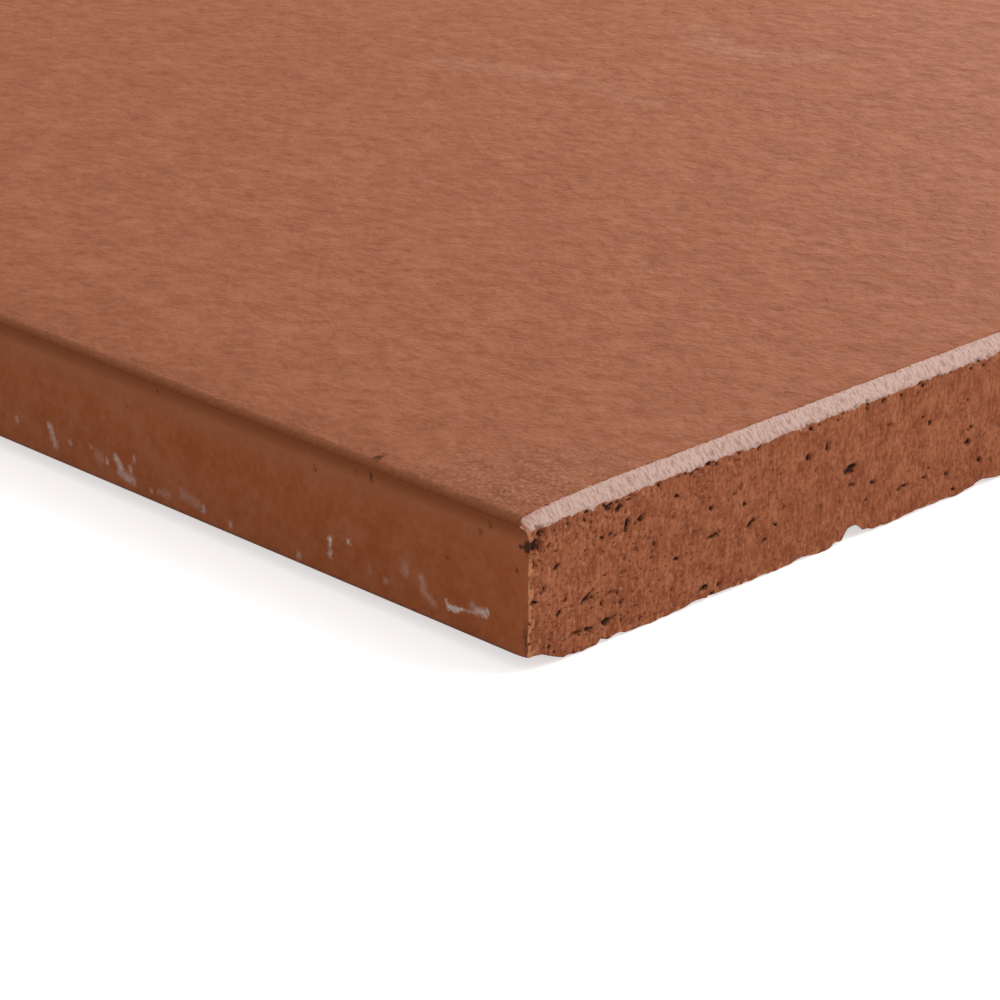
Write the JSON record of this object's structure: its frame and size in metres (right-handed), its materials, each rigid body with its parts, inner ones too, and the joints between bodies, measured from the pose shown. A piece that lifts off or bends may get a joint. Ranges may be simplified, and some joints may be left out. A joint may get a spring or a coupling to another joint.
{
  "type": "quarry tile",
  "caption": "Square unglazed clay floor tile with lipped extruded sides, wire-cut ends with a bevelled top arris, and a back keyed with grooves.",
  "frame": {"origin": "under the middle of the tile, on the plane that its back rests on", "axes": "+Z out of the wear face, Y along the extrusion and the back grooves, X across it towards the extruded sides"},
  "size_m": [0.15, 0.15, 0.0127],
  "materials": {
    "fired_clay": "matt unglazed red-brown body, smooth on the extruded sides and rough on the wire-cut ends"
  },
  "bodies": {
    "root": {"quarry_tile": "fired_clay"}
  },
  "joints": []
}
